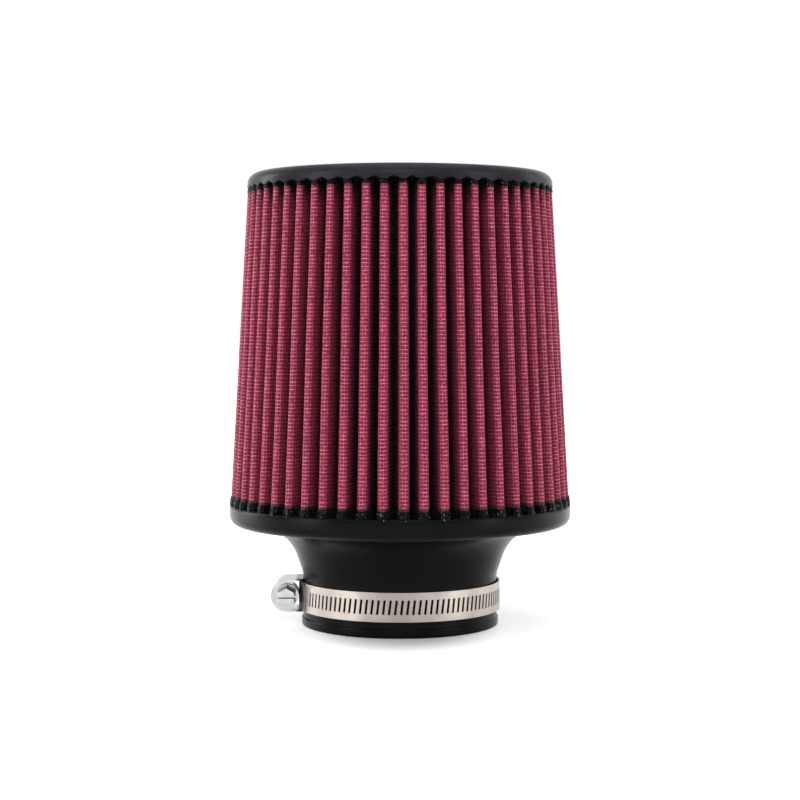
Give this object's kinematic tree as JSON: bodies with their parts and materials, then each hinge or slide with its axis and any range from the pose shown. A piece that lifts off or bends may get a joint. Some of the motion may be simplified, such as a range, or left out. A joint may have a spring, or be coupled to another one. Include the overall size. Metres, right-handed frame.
{
  "type": "performance air filter",
  "caption": "Conical pleated gauze air filter with a closed rubber cap, a rubber base with a flared inlet neck, and a worm-drive hose clamp round the neck.",
  "frame": {"origin": "centre of the inlet mouth, on the plane that the neck stands on", "axes": "+Z along the filter's axis from the inlet mouth to the closed cap; the clamp screw lies on the -X side with its head towards -Y"},
  "size_m": [0.153, 0.153, 0.2018],
  "materials": {
    "urethane": "matte moulded urethane",
    "gauze": "oiled red cotton gauze behind a fine wire screen",
    "stainless": "bright rolled stainless strip",
    "zinc": "bright zinc plate"
  },
  "bodies": {
    "filter": {"base_flange": "urethane", "pleated_media": "gauze", "end_cap": "urethane", "clamp_band": "stainless", "clamp_housing": "zinc"},
    "screw": {"clamp_screw": "zinc"}
  },
  "joints": [
    {"name": "clamp_screw_turn", "type": "hinge", "parent": "filter", "child": "screw", "pos_m": [-0.05045, 0, 0.01355], "axis": [0, 1, 0], "range_deg": [-1890, 1170]}
  ]
}
